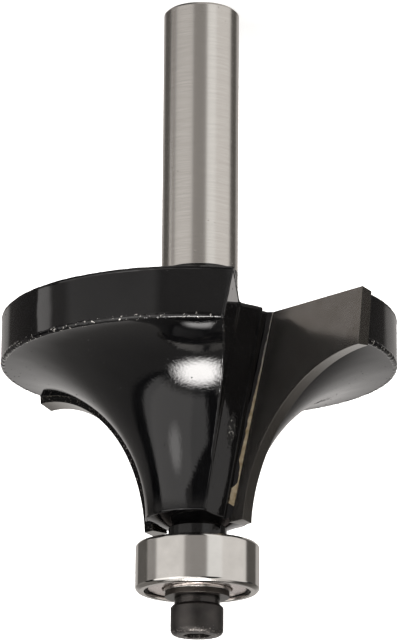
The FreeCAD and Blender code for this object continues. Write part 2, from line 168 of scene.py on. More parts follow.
# The left softbox has leaning edges and a soft spot where its lamp is.
SOFTBOX_LEAN = 0.2
LAMP_SIDE, LAMP_HEIGHT, LAMP_FLATNESS = math.radians(61), math.radians(29), 1.4
left_lean = add(tree, "ShaderNodeMath", {"operation": "MULTIPLY_ADD"}, i0=height, i1=SOFTBOX_LEAN,
                i2=side).outputs[0]
corner = add(tree, "ShaderNodeMapRange", None, Value=height, From_Min=0.0, From_Max=math.radians(33.85),
             To_Min=math.radians(27), To_Max=math.radians(-17)).outputs[0]
right_lean = add(tree, "ShaderNodeMath", {"operation": "ADD"}, i0=corner, i1=side).outputs[0]
softbox = lit(1.0, (left_lean, -90, -84), (right_lean, 5, -5), (height, -12, -4), (height, 76, 66))
lamp_side = add(tree, "ShaderNodeMath", {"operation": "MULTIPLY_ADD"}, i0=side, i1=LAMP_FLATNESS,
                i2=LAMP_SIDE).outputs[0]
lamp_height = add(tree, "ShaderNodeMath", {"operation": "ADD"}, i0=-LAMP_HEIGHT, i1=height).outputs[0]
from_lamp = add(tree, "ShaderNodeCombineXYZ", None, X=lamp_side, Y=lamp_height).outputs[0]
lamp_off = add(tree, "ShaderNodeVectorMath", {"operation": "LENGTH"}, i0=from_lamp).outputs["Value"]
lamp = lit(1.9, (lamp_off, 22, 6))

# The other lights: a glow at the back near the floor, the overhead light, and a narrow gap between two
# panels that only the rim mirrors.
glow = lit(0.48, (back_off, 34, 8), (height, -12, -2), (height, 32, 12))
overhead = lit(22.0, (height, 74, 85))
gap = lit(1.15, (side, -108, -107), (side, -93, -98), (height, -16.8, -16.3), (height, -14.4, -14.9))
lights = softbox
for light in (lamp, glow, overhead, gap):
    lights = add(tree, "ShaderNodeMath", {"operation": "ADD"}, i0=light, i1=lights).outputs[0]

plain = add(tree, "ShaderNodeBackground", None, Color=walls.outputs[2], Strength=shade)
boxes = add(tree, "ShaderNodeBackground", None, Color=linear("fdfaf8"), Strength=lights)
both = add(tree, "ShaderNodeAddShader", None, i0=plain.outputs[0], i1=boxes.outputs[0])
add(tree, "ShaderNodeOutputWorld", None, Surface=both.outputs[0])
bpy.context.scene.world = tent
bpy.context.scene.view_settings.view_transform = "Standard"

bpy.ops.mesh.primitive_plane_add(size=6)
floor = bpy.context.object
floor.name = "paper_floor"
floor.visible_glossy = False


def material(name):
    """A new material: its tree, its Principled shader and its Object coordinates."""
    made = bpy.data.materials.new(name)
    made.use_nodes = True
    shader = made.node_tree.nodes["Principled BSDF"]
    where = made.node_tree.nodes.new("ShaderNodeTexCoord").outputs["Object"]
    return made, made.node_tree, shader, where


# Matt white paper, lit from below: fibres of about 2 mm, hardly to be seen.
paper, tree, shader, where = material("matt white paper")
fibres = add(tree, "ShaderNodeTexNoise", None, Vector=where, Scale=500, Detail=3)
fibre_tone = add(tree, "ShaderNodeValToRGB", None, ((0.3, "f0f0ef"), (0.7, "f4f4f3")),
                 Fac=fibres.outputs["Fac"])
tree.links.new(fibre_tone.outputs[0], shader.inputs["Base Color"])
tree.links.new(fibre_tone.outputs[0], shader.inputs["Emission Color"])
shader.inputs["Emission Strength"].default_value = 0.85
shader.inputs["Roughness"].default_value = 0.9
floor.data.materials.append(paper)

# Cutter body: one turned steel blank with the ground 8 mm shank, its cutter end dipped in gloss black
# lacquer after the tips are brazed in. The two gullets are milled right through the rim.
LACQUER_LINE = 28.88 * MM


def merged(node):
    """A bmesh of a CAD node's mesh, with its doubles merged and its flat faces joined up."""
    shape = bmesh.new()
    shape.from_mesh(nodes[node].data)
    bmesh.ops.remove_doubles(shape, verts=shape.verts, dist=0.0005 * MM)
    bmesh.ops.dissolve_limit(shape, angle_limit=math.radians(0.05), verts=shape.verts, edges=shape.edges)
    return shape


def linked(name, mesh, look, body, replaced=None):
    """An object for a finished mesh, with its material and body."""
    piece = bpy.data.objects.new(name, mesh)
    bpy.context.scene.collection.objects.link(piece)
    mesh.materials.clear()
    mesh.materials.append(look)
    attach(piece, body)
    if replaced:
        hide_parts(replaced)
    return piece


def smoothed(shape, sharp=30):
    """A smooth-shaded mesh from a bmesh, with its edges above that angle left sharp."""
    mesh = bpy.data.meshes.new("smoothed")
    shape.to_mesh(mesh)
    if "custom_normal" in mesh.attributes:
        mesh.attributes.remove(mesh.attributes["custom_normal"])
    mesh.shade_smooth()
    mesh.set_sharp_from_angle(angle=math.radians(sharp))
    return mesh


# Its material: gloss lacquer over steel, slightly wavy from dipping, with a fine peel. The bare shank is
# centreless ground, so fine lines run round it.
lacquer, tree, shader, where = material("gloss black lacquer on ground steel")
level = add(tree, "ShaderNodeSeparateXYZ", None, Vector=where).outputs["Z"]
coated = add(tree, "ShaderNodeMapRange", None, Value=level, From_Min=LACQUER_LINE - 0.03 * MM,
             From_Max=LACQUER_LINE + 0.03 * MM).outputs[0]
bare = add(tree, "ShaderNodeMapRange", None, Value=coated, To_Min=1, To_Max=0).outputs[0]
# Grinding lines, 0.12 mm apart along the shank and drawn out round it; real ones are finer.
round_lines = add(tree, "ShaderNodeMapping", None, Vector=where, Scale=(350, 350, 8000))
lines = add(tree, "ShaderNodeTexNoise", None, Vector=round_lines.outputs[0], Scale=1, Detail=2).outputs["Fac"]
steel_tone = add(tree, "ShaderNodeValToRGB", None, ((0.3, "d9d6d1"), (0.7, "e2dfda")), Fac=lines)
# Waves of 5 mm, a peel of 0.3 mm and thin spots in the lacquer.
waves = add(tree, "ShaderNodeTexNoise", None, Vector=where, Scale=200, Detail=1).outputs["Fac"]
peel = add(tree, "ShaderNodeTexNoise", None, Vector=where, Scale=3300, Detail=2).outputs["Fac"]
film_tone = add(tree, "ShaderNodeValToRGB", None, ((0.35, "070708"), (0.75, "0d0d0e")), Fac=waves)
tone = add(tree, "ShaderNodeMix", {"data_type": "RGBA"}, i0=coated, i6=steel_tone.outputs[0],
           i7=film_tone.outputs[0])
steel_gloss = add(tree, "ShaderNodeMapRange", None, Value=lines, To_Min=0.19, To_Max=0.25)
film_gloss = add(tree, "ShaderNodeMapRange", None, Value=peel, To_Min=0.04, To_Max=0.07)
gloss = add(tree, "ShaderNodeMix", None, i0=coated, i2=steel_gloss.outputs[0], i3=film_gloss.outputs[0])
ground = add(tree, "ShaderNodeBump", None, Height=lines, Distance=0.0015 * MM, Strength=bare)
wavy = add(tree, "ShaderNodeBump", None, Height=waves, Distance=0.05 * MM, Strength=coated,
           Normal=ground.outputs[0])
# The peel is strongest near the neck, where the lacquer ran down, and faint on the rim.
run = add(tree, "ShaderNodeMapRange", None, Value=level, From_Min=39.5 * MM, From_Max=42 * MM, To_Min=0.1)
peel_depth = add(tree, "ShaderNodeMath", {"operation": "MULTIPLY"}, i0=coated, i1=run.outputs[0])
peeled = add(tree, "ShaderNodeBump", None, Height=peel, Distance=0.009 * MM, Strength=peel_depth.outputs[0],
             Normal=wavy.outputs[0])
# One patch on the floor of the first gullet looks crusted: dull, with pale specks of 0.3 mm and a ragged
# outline.
CRUST_PLACE = (5.92 * MM, 0.75 * MM, 46.9 * MM)
CRUST_REACH = (0.8 * MM, 0.62 * MM, 1.9 * MM)
from_crust = add(tree, "ShaderNodeVectorMath", {"operation": "SUBTRACT"}, i0=where, i1=CRUST_PLACE)
in_reaches = add(tree, "ShaderNodeVectorMath", {"operation": "DIVIDE"}, i0=from_crust.outputs[0],
                 i1=CRUST_REACH)
crust_off = add(tree, "ShaderNodeVectorMath", {"operation": "LENGTH"},
                i0=in_reaches.outputs[0]).outputs["Value"]
crumbs = add(tree, "ShaderNodeTexNoise", None, Vector=where, Scale=3600, Detail=3).outputs["Fac"]
ragged = add(tree, "ShaderNodeMath", {"operation": "MULTIPLY_ADD"}, i0=crumbs, i1=1.6,
             i2=crust_off).outputs[0]
crust = add(tree, "ShaderNodeMapRange", None, Value=ragged, From_Min=1.8, From_Max=1.65).outputs[0]
crumb_tone = add(tree, "ShaderNodeValToRGB", None, ((0.56, "040404"), (0.66, "8a8884")), Fac=crumbs)
shown = add(tree, "ShaderNodeMix", {"data_type": "RGBA"}, i0=crust, i6=tone.outputs[2],
            i7=crumb_tone.outputs[0])
dulled = add(tree, "ShaderNodeMix", None, i0=crust, i2=gloss.outputs[0], i3=0.6)
crusted = add(tree, "ShaderNodeBump", None, Height=crumbs, Distance=0.05 * MM, Strength=crust,
              Normal=peeled.outputs[0])
tree.links.new(shown.outputs[2], shader.inputs["Base Color"])
tree.links.new(bare, shader.inputs["Metallic"])
tree.links.new(dulled.outputs[0], shader.inputs["Roughness"])
tree.links.new(crusted.outputs[0], shader.inputs["Normal"])

# The lacquer gathers at the rim's edge towards the flank and rounds it over.
RIM_EDGE_RADIUS = 20.3 * MM
RIM_EDGE_LEVELS = (39 * MM, 39.5 * MM)
RIM_ROUND = 0.3 * MM
SHARP = math.radians(30)


def at_rim(ends):
    """Whether an edge is the rim's own, towards the flank."""
    lowest, highest = RIM_EDGE_LEVELS
    return all(math.hypot(end.x, end.y) > RIM_EDGE_RADIUS and lowest < end.z < highest for end in ends)


blank = merged("cutter_body")
rim_edges = [edge for edge in blank.edges
             if at_rim([vertex.co for vertex in edge.verts]) and edge.calc_face_angle() > SHARP]
bmesh.ops.bevel(blank, geom=rim_edges, offset=RIM_ROUND, offset_type="OFFSET", segments=4, profile=0.5,
                affect="EDGES", clamp_overlap=False)
body_mesh = smoothed(blank)

# The turned faces get their exact normals, so that reflections run smoothly over the CAD mesh's facets:
# straight out on the shank and the rim, and towards the centre of its arc on the hollow flank.
ARC_CENTRE = (21.35 * MM, 55.25 * MM)
ARC_RADIUS = 15.98 * MM
ON_FACE = 0.01 * MM
TURNED_RADII = (4 * MM, 20.54 * MM)
NEAR_NORMAL = math.cos(math.radians(9))


def exact_normal(point, normal):
    """The normal of the turned face that a point lies on, where the given one is near it."""
    radius = math.hypot(point.x, point.y)
    out = Vector((point.x, point.y, 0)) / radius if radius else Vector()
    guesses = []
    if min(abs(radius - turned_radius) for turned_radius in TURNED_RADII) < ON_FACE:
        guesses.append(out)
    arm = (ARC_CENTRE[0] - radius, ARC_CENTRE[1] - point.z)
    if abs(math.hypot(*arm) - ARC_RADIUS) < ON_FACE:
        guesses.append((out * arm[0] + Vector((0, 0, arm[1]))).normalized())
    for guess in guesses:
        if guess.dot(normal) > NEAR_NORMAL:
            return guess
    return None


split_normals = []
for face in body_mesh.polygons:
    for corner in face.loop_indices:
        place = body_mesh.vertices[body_mesh.loops[corner].vertex_index].co
        smooth = face.normal if len(face.vertices) > 4 else body_mesh.corner_normals[corner].vector
        split_normals.append(exact_normal(place, face.normal) or smooth.copy())
body_mesh.normals_split_custom_set(split_normals)
body = linked("cutter_body_piece", body_mesh, lacquer, "bit", "cutter_body")

# Lacquer draws back from sharp edges and dries in a thin bead along them, which catches the light as a
# fine line, lumpy and broken at the rim. A tube follows each edge, sunk until it stands a hair proud.
BEAD_RADIUS, BEAD_SINK = 0.2 * MM, 0.165 * MM
RIM_BEAD_RADIUS, RIM_BEAD_SINK = 0.35 * MM, 0.32 * MM
unrounded = merged("cutter_body")


def edge_route(sink, wanted):
    """An object of the body's sharp lacquered edges that pass a test, drawn in by that depth."""
    inward, steps = {}, []
    for edge in unrounded.edges:
        ends = [vertex.co for vertex in edge.verts]
        if len(edge.link_faces) < 2 or min(end.z for end in ends) < LACQUER_LINE or not edge.is_convex:
            continue
        if edge.calc_face_angle() < SHARP or not wanted(ends):
            continue
        first, second = (face.normal for face in edge.link_faces)
        steps.append([vertex.index for vertex in edge.verts])
        for vertex in edge.verts:
            inward.setdefault(vertex.index, []).append((first + second) / (1 + first.dot(second)))
    used = sorted(inward)
    unrounded.verts.ensure_lookup_table()
    path = bpy.data.meshes.new("edge_route")
    path.from_pydata([unrounded.verts[index].co - sink * sum(inward[index], Vector()) / len(inward[index])
                      for index in used],
                     [[used.index(index) for index in pair] for pair in steps], [])
    route = bpy.data.objects.new("edge_route", path)
    bpy.context.scene.collection.objects.link(route)
    return route


def grown(source, name, build, look, **sizes):
    """Runs a Geometry Nodes tree on a source object: build gets the tree, its input sockets by name and
    the source's geometry, and returns the geometry. The sizes are the tree's named inputs."""
    tree = bpy.data.node_groups.new(name, "GeometryNodeTree")
    tree.interface.new_socket("Geometry", in_out="INPUT", socket_type="NodeSocketGeometry")
    tree.interface.new_socket("Geometry", in_out="OUTPUT", socket_type="NodeSocketGeometry")
    keys = {key: tree.interface.new_socket(key, in_out="INPUT", socket_type="NodeSocketFloat").identifier
            for key in sizes}
    start = tree.nodes.new("NodeGroupInput")
    made = build(tree, start.outputs, start.outputs["Geometry"])
    real = add(tree, "GeometryNodeRealizeInstances", None, Geometry=made)
    coloured = add(tree, "GeometryNodeSetMaterial", None, Geometry=real.outputs[0], Material=look)
    end = tree.nodes.new("NodeGroupOutput")
    tree.links.new(coloured.outputs[0], end.inputs[0])
    modifier = source.modifiers.new(name, "NODES")
    modifier.node_group = tree
    for key, identifier in keys.items():
        modifier[identifier] = sizes[key]
    mesh = bpy.data.meshes.new_from_object(source.evaluated_get(bpy.context.evaluated_depsgraph_get()))
    source.modifiers.remove(modifier)
    return mesh


def bead_tube(tree, given, path):
    """A tube along a path, its radius lumpy along the way."""
    curve = add(tree, "GeometryNodeMeshToCurve", None, Mesh=path)
    even = add(tree, "GeometryNodeResampleCurve", {"mode": "LENGTH"}, Curve=curve.outputs[0],
               Length=given["step"])
    place = add(tree, "GeometryNodeInputPosition")
    lumps = add(tree, "ShaderNodeTexNoise", None, Vector=place.outputs[0], Scale=given["lumps"], Detail=1)
    share = add(tree, "ShaderNodeMapRange", None, Value=lumps.outputs[0], From_Min=0.3, From_Max=0.7,
                To_Min=given["least"], To_Max=given["most"])
    ring = add(tree, "GeometryNodeCurvePrimitiveCircle", {"mode": "RADIUS"}, Resolution=16,
               Radius=given["radius"])
    thick = add(tree, "GeometryNodeSetCurveRadius", None, Curve=even.outputs[0], Radius=share.outputs[0])
    tube = add(tree, "GeometryNodeCurveToMesh", None, Curve=thick.outputs[0], Profile_Curve=ring.outputs[0],
               Fill_Caps=True)
    if "Scale" in tube.inputs:
        tree.links.new(share.outputs[0], tube.inputs["Scale"])
    return tube.outputs[0]


# At the rim the bead is chipped in places, down to bare steel, in specks of 0.1 to 0.3 mm.
chipped, tree, shader, where = material("chipped lacquer edge")
specks = add(tree, "ShaderNodeTexNoise", None, Vector=where, Scale=2800, Detail=2).outputs["Fac"]
worn = add(tree, "ShaderNodeMapRange", None, Value=specks, From_Min=0.63, From_Max=0.68).outputs[0]
grain = add(tree, "ShaderNodeTexNoise", None, Vector=where, Scale=7000, Detail=1).outputs["Fac"]
tone = add(tree, "ShaderNodeMix", {"data_type": "RGBA"}, i0=worn, i6=linear("09090a"), i7=linear("d9d6d1"))
gloss = add(tree, "ShaderNodeMapRange", None, Value=worn, To_Min=0.06, To_Max=0.35)
bump = add(tree, "ShaderNodeBump", None, Height=grain, Distance=0.012 * MM)
tree.links.new(tone.outputs[2], shader.inputs["Base Color"])
tree.links.new(worn, shader.inputs["Metallic"])
tree.links.new(gloss.outputs[0], shader.inputs["Roughness"])
tree.links.new(bump.outputs[0], shader.inputs["Normal"])

# Its lumps are 0.6 mm apart, those of the other beads 1.1 mm.
for name, look, sink, wanted, sizes in (
        ("lacquer_rim_bead", chipped, RIM_BEAD_SINK, at_rim,
         {"step": 0.12 * MM, "lumps": 1700.0, "least": 0.945, "most": 1.05, "radius": RIM_BEAD_RADIUS}),
        ("lacquer_beads", lacquer, BEAD_SINK, lambda ends: not at_rim(ends),
         {"step": 0.2 * MM, "lumps": 900.0, "least": 0.88, "most": 1.08, "radius": BEAD_RADIUS})):
    route = edge_route(sink, wanted)
    bead_mesh = grown(route, name, bead_tube, look, **sizes)
    bpy.data.objects.remove(route)
    bead_mesh.shade_smooth()
    linked(name, bead_mesh, look, "bit")


# Dust nibs: specks of dust caught in the wet lacquer, each a tiny low mound. They gather in the gullets,
# where the lacquer ran together over the braze, in front of each tip's leaning cutting face.
SHEAR = math.radians(7)
RAKE_OFFSET = 3.18 * MM
BODY_TOP = 34.05 * MM
FACE_LEVEL = RAKE_OFFSET * math.cos(SHEAR) + BODY_TOP * math.sin(SHEAR)


def nib_scatter(tree, given, surface):
    """Scatters low mounds of mixed size over a surface, above the lacquer's edge."""
    place = add(tree, "GeometryNodeInputPosition")
    up = add(tree, "ShaderNodeSeparateXYZ", None, Vector=place.outputs[0])
    dipped = add(tree, "FunctionNodeCompare", {"operation": "GREATER_THAN"}, A=up.outputs["Z"],
                 B=given["edge"])
    half = add(tree, "ShaderNodeMath", {"operation": "SIGN"}, i0=up.outputs["X"])
    own_y = add(tree, "ShaderNodeMath", {"operation": "MULTIPLY"}, i0=up.outputs["Y"], i1=half.outputs[0])
    leaning = add(tree, "ShaderNodeMath", {"operation": "MULTIPLY_ADD"}, i0=up.outputs["Z"],
                  i1=-math.sin(SHEAR), i2=FACE_LEVEL)
    ahead = add(tree, "ShaderNodeMath", {"operation": "MULTIPLY_ADD"}, i0=own_y.outputs[0],
                i1=math.cos(SHEAR), i2=leaning.outputs[0])
    front = add(tree, "ShaderNodeMath", {"operation": "GREATER_THAN"}, i0=ahead.outputs[0], i1=0.0)
    near = add(tree, "ShaderNodeMapRange", None, Value=ahead.outputs[0], From_Min=0.4 * MM,
               From_Max=given["spread"], To_Min=given["gathered"], To_Max=0.0)
    extra = add(tree, "ShaderNodeMath", {"operation": "MULTIPLY"}, i0=near.outputs[0], i1=front.outputs[0])
    crowd = add(tree, "ShaderNodeMath", {"operation": "ADD"}, i0=extra.outputs[0], i1=given["density"])
    points = add(tree, "GeometryNodeDistributePointsOnFaces", None, Mesh=surface, Density=crowd.outputs[0],
                 Selection=dipped.outputs[0], Seed=7)
    mound = add(tree, "GeometryNodeMeshIcoSphere", None, Radius=1.0, Subdivisions=1)
    sizes = add(tree, "FunctionNodeRandomValue", {"data_type": "FLOAT"}, i2=0.0, i3=1.0, Seed=11)
    rare = add(tree, "ShaderNodeMath", {"operation": "POWER"}, i0=sizes.outputs[1], i1=3.0)
    width = add(tree, "ShaderNodeMapRange", None, Value=rare.outputs[0], To_Min=given["least"],
                To_Max=given["most"])
    low = add(tree, "ShaderNodeMath", {"operation": "MULTIPLY"}, i0=width.outputs[0], i1=0.45)
    scale = add(tree, "ShaderNodeCombineXYZ", None, X=width.outputs[0], Y=width.outputs[0],
                Z=low.outputs[0])
    placed = add(tree, "GeometryNodeInstanceOnPoints", None, Points=points.outputs["Points"],
                 Instance=mound.outputs["Mesh"], Rotation=points.outputs["Rotation"], Scale=scale.outputs[0])
    return placed.outputs[0]


nib_mesh = grown(body, "dust nibs", nib_scatter, lacquer, edge=LACQUER_LINE + 0.2 * MM, density=3.0e5,
                 gathered=2.6e6, spread=2.6 * MM, least=0.025 * MM, most=0.1 * MM)
nib_mesh.shade_smooth()
linked("lacquer_nibs", nib_mesh, lacquer, "bit")


# Tips: sintered tungsten carbide, ground on every outer face with a fine diamond wheel. That leaves a
# dark satin grey that mirrors softly, with faint parallel lines and a few pits.
def dressed(node, mesh, look):
    """Puts a finished mesh in a CAD node's place, on its own body."""
    record = frame["record"]
    rider = next(name for name, members in record["behaviour"]["bodies"].items() if node in members)
    return linked(node + "_piece", mesh, look, rider, node)


def eased(shape, width, turns=2, sharp=30):
    """A mesh from a bmesh, with its sharp edges rounded over that width."""
    rough = bpy.data.objects.new("eased", smoothed(shape, sharp))
    bpy.context.scene.collection.objects.link(rough)
    bevel = rough.modifiers.new("bevel", "BEVEL")
    bevel.limit_method = "ANGLE"
    bevel.angle_limit = math.radians(sharp)
    bevel.width = width
    bevel.segments = turns
    bevel.harden_normals = True
    done = bpy.data.meshes.new_from_object(rough.evaluated_get(bpy.context.evaluated_depsgraph_get()))
    bpy.data.objects.remove(rough)
    return done


TIP_TURNS = (("a", 0.0), ("b", math.pi))
TIP_EASE = 0.03 * MM
for end, half_turn in TIP_TURNS:
    carbide, tree, shader, where = material("ground tungsten carbide " + end)
    # Turned into the tip's own axes: X out to the rim, Z along the leaning edge. Lines 0.1 mm apart.
    own = add(tree, "ShaderNodeMapping", None, Vector=where, Rotation=(0, 0, half_turn))
    flat = add(tree, "ShaderNodeMapping", None, Vector=own.outputs[0], Rotation=(-SHEAR, 0, 0),
               Scale=(600, 6000, 9000))
    lines = add(tree, "ShaderNodeTexNoise", None, Vector=flat.outputs[0], Scale=1, Detail=2)
    cloud = add(tree, "ShaderNodeTexNoise", None, Vector=own.outputs[0], Scale=350, Detail=3)
    pits = add(tree, "ShaderNodeTexNoise", None, Vector=own.outputs[0], Scale=3500, Detail=1)
    pit = add(tree, "ShaderNodeMapRange", None, Value=pits.outputs["Fac"], From_Min=0.76, From_Max=0.8)
    tone = add(tree, "ShaderNodeValToRGB", None, ((0.3, "9d9892"), (0.7, "aeaaa6")),
               Fac=cloud.outputs["Fac"])
    # The clearance faces behind the edge get a darker tone than the cutting face: painted shade.
    facing = add(tree, "ShaderNodeTexCoord").outputs["Normal"]
    own_facing = add(tree, "ShaderNodeMapping", {"vector_type": "NORMAL"}, Vector=facing,
                     Rotation=(0, 0, half_turn))
    towards_face = add(tree, "ShaderNodeVectorMath", {"operation": "DOT_PRODUCT"}, i0=own_facing.outputs[0],
                       i1=(0, math.cos(SHEAR), -math.sin(SHEAR))).outputs["Value"]
    unshaded_cutting_face = add(tree, "ShaderNodeMapRange", None, Value=towards_face, From_Min=0.9,
                      From_Max=0.97).outputs[0]
    faces = add(tree, "ShaderNodeMix", {"data_type": "RGBA"}, i0=unshaded_cutting_face, i6=linear("77746f"),
                i7=tone.outputs[0])
    pitted = add(tree, "ShaderNodeMix", {"data_type": "RGBA"}, i0=pit.outputs[0], i6=faces.outputs[2],
                 i7=linear("4a4744"))
    # The back was dipped with the body, and its lacquer is rough, with pale specks.
    ground = add(tree, "ShaderNodeMapRange", None, Value=towards_face, From_Min=-0.97, From_Max=-0.9,
                 To_Max=0.95).outputs[0]
    dust = add(tree, "ShaderNodeTexNoise", None, Vector=own.outputs[0], Scale=4200, Detail=2).outputs["Fac"]
    coat = add(tree, "ShaderNodeValToRGB", None, ((0.6, "0a0a0a"), (0.7, "5a5753")), Fac=dust)
    shown = add(tree, "ShaderNodeMix", {"data_type": "RGBA"}, i0=ground, i6=coat.outputs[0],
                i7=pitted.outputs[2])
    gloss = add(tree, "ShaderNodeMapRange", None, Value=lines.outputs["Fac"], To_Min=0.12, To_Max=0.23)
    bump = add(tree, "ShaderNodeBump", None, Height=lines.outputs["Fac"], Distance=0.0009 * MM)
    tree.links.new(shown.outputs[2], shader.inputs["Base Color"])
    tree.links.new(ground, shader.inputs["Metallic"])
    tree.links.new(gloss.outputs[0], shader.inputs["Roughness"])
    tree.links.new(bump.outputs[0], shader.inputs["Normal"])
    dressed("carbide_" + end, eased(merged("carbide_" + end), TIP_EASE), carbide)

# Braze: silver brazing alloy, melted into the seat behind and under each tip. Its bead along the tip's
# inner edge was lacquered with the body, and shows brassy only where the tip's grinding cut it clean.
# How the clean strip widens and narrows down the tip: from one level to another, by these widths in mm.
CLEAN_WIDTHS = ((36, 39, 0.11, 0.16), (41, 45, 0, 0.13), (49.5, 51.5, 0, -0.17), (52, 52.5, 0, 0.34),
                (54.1, 54.7, 0, -0.7))
BEAD_FACET = 0.4 * MM
BEAD_DEPTHS = (0.02 * MM, 0.43 * MM)
SWELL, SWELL_PITCH = 0.06 * MM, 0.9 * MM

for end, half_turn in TIP_TURNS:
    braze, tree, shader, where = material("lacquered silver braze " + end)
    own = add(tree, "ShaderNodeMapping", None, Vector=where, Rotation=(0, 0, half_turn)).outputs[0]
    level = add(tree, "ShaderNodeSeparateXYZ", None, Vector=own).outputs["Z"]
    # The clean strip lies in front of the tip's cutting face. It widens down the tip, with a blob near
    # the end and lacquer over the rest, and its edge is ragged.
    behind = add(tree, "ShaderNodeVectorMath", {"operation": "DOT_PRODUCT"}, i0=own,
                 i1=(0, -math.cos(SHEAR), math.sin(SHEAR))).outputs["Value"]
    ragged = add(tree, "ShaderNodeTexNoise", None, Vector=own, Scale=1100, Detail=3).outputs["Fac"]
    uneven = add(tree, "ShaderNodeMapRange", None, Value=ragged, To_Max=-0.17 * MM, To_Min=0.05 * MM)
    reach = add(tree, "ShaderNodeMath", {"operation": "ADD"}, i0=uneven.outputs[0], i1=behind).outputs[0]
    for start, stop, before, after in CLEAN_WIDTHS:
        width = add(tree, "ShaderNodeMapRange", None, Value=level, From_Min=start * MM, From_Max=stop * MM,
                    To_Min=before * MM, To_Max=after * MM)
        reach = add(tree, "ShaderNodeMath", {"operation": "ADD"}, i0=width.outputs[0], i1=reach).outputs[0]
    clean = add(tree, "ShaderNodeMapRange", None, Value=reach, From_Min=FACE_LEVEL - 0.03 * MM,
                From_Max=FACE_LEVEL + 0.03 * MM).outputs[0]
    grain = add(tree, "ShaderNodeTexNoise", None, Vector=own, Scale=1500, Detail=3).outputs["Fac"]
    alloy = add(tree, "ShaderNodeValToRGB", None, ((0.3, "b8a27c"), (0.7, "f0e2c4")), Fac=grain)
    # Near the rim the strip looks grey, and further along the tip it is brassy.
    warmth = add(tree, "ShaderNodeMapRange", None, Value=level, From_Min=38 * MM,
                 From_Max=44 * MM).outputs[0]
    metal = add(tree, "ShaderNodeMix", {"data_type": "RGBA"}, i0=warmth, i6=linear("a5a29c"),
                i7=alloy.outputs[0])
    tone = add(tree, "ShaderNodeMix", {"data_type": "RGBA"}, i0=clean, i6=linear("08080a"),
               i7=metal.outputs[2])
    gloss = add(tree, "ShaderNodeMapRange", None, Value=clean, To_Min=0.08, To_Max=0.36)
    bump = add(tree, "ShaderNodeBump", None, Height=grain, Distance=0.02 * MM)
    tree.links.new(tone.outputs[2], shader.inputs["Base Color"])
    tree.links.new(clean, shader.inputs["Metallic"])
    tree.links.new(gloss.outputs[0], shader.inputs["Roughness"])
    tree.links.new(bump.outputs[0], shader.inputs["Normal"])
    shape = merged("braze_" + end)
    for turn in range(4):
        bmesh.ops.triangulate(shape, faces=shape.faces)
        long_edges = [edge for edge in shape.edges if edge.calc_length() > BEAD_FACET]
        bmesh.ops.subdivide_edges(shape, edges=long_edges, cuts=1)
    sign = 1 if end == "a" else -1
    for vertex in shape.verts:
        off_face = sign * vertex.co.y * math.cos(SHEAR) - vertex.co.z * math.sin(SHEAR) + FACE_LEVEL
        if BEAD_DEPTHS[0] < off_face < BEAD_DEPTHS[1]:
            swell = SWELL * (noise.noise(vertex.co / SWELL_PITCH) + 0.3)
            vertex.co += Vector((sign * 0.7, sign * 0.7, 0)) * swell
    dressed("braze_" + end, smoothed(shape, 40), braze)

# Pilot bearing: rings of through-hardened chromium steel, superfinished bright, with faint lines round
# them and corners rounded by tumbling. The balls are lapped to a mirror.
bearing_steel, tree, shader, where = material("superfinished bearing steel")
round_lines = add(tree, "ShaderNodeMapping", None, Vector=where, Scale=(300, 300, 7000))
lines = add(tree, "ShaderNodeTexNoise", None, Vector=round_lines.outputs[0], Scale=1, Detail=2)
smears = add(tree, "ShaderNodeTexNoise", None, Vector=where, Scale=700, Detail=4)
bright = add(tree, "ShaderNodeValToRGB", None, ((0.3, "dfddd9"), (0.7, "e9e7e3")), Fac=smears.outputs["Fac"])
# The end faces are only ground, so they are duller than the track and the rim; their darker tone is painted
# shade.
facing = add(tree, "ShaderNodeSeparateXYZ", None, Vector=add(tree, "ShaderNodeTexCoord").outputs["Normal"])
endwise = add(tree, "ShaderNodeMath", {"operation": "ABSOLUTE"}, i0=facing.outputs["Z"])
end_face_dull_and_shaded = add(tree, "ShaderNodeMapRange", None, Value=endwise.outputs[0], From_Min=0.5,
               From_Max=0.95).outputs[0]
tone = add(tree, "ShaderNodeMix", {"data_type": "RGBA"}, i0=end_face_dull_and_shaded, i6=bright.outputs[0],
           i7=linear("b7b3ae"))
polish = add(tree, "ShaderNodeMapRange", None, Value=smears.outputs["Fac"], To_Min=0.06, To_Max=0.16)
gloss = add(tree, "ShaderNodeMath", {"operation": "MULTIPLY_ADD"}, i0=end_face_dull_and_shaded, i1=0.14, i2=polish.outputs[0])
bump = add(tree, "ShaderNodeBump", None, Height=lines.outputs["Fac"], Distance=0.0008 * MM)
tree.links.new(tone.outputs[2], shader.inputs["Base Color"])
tree.links.new(gloss.outputs[0], shader.inputs["Roughness"])
tree.links.new(bump.outputs[0], shader.inputs["Normal"])
shader.inputs["Metallic"].default_value = 1
dressed("outer_ring", eased(merged("outer_ring"), 0.12 * MM, 3), bearing_steel)
dressed("inner_ring", eased(merged("inner_ring"), 0.05 * MM), bearing_steel)

lapped, tree, shader, where = material("lapped ball steel")
oil = add(tree, "ShaderNodeTexNoise", None, Vector=where, Scale=1500, Detail=2)
tone = add(tree, "ShaderNodeValToRGB", None, ((0.3, "d8d4cc"), (0.7, "e6e4e0")), Fac=oil.outputs["Fac"])
gloss = add(tree, "ShaderNodeMapRange", None, Value=oil.outputs["Fac"], To_Min=0.02, To_Max=0.09)
tree.links.new(tone.outputs[0], shader.inputs["Base Color"])
tree.links.new(gloss.outputs[0], shader.inputs["Roughness"])
shader.inputs["Metallic"].default_value = 1
for number in range(1, 8):
    ball = nodes["ball_%d" % number]
    ball.data.materials.clear()
    ball.data.materials.append(lapped)

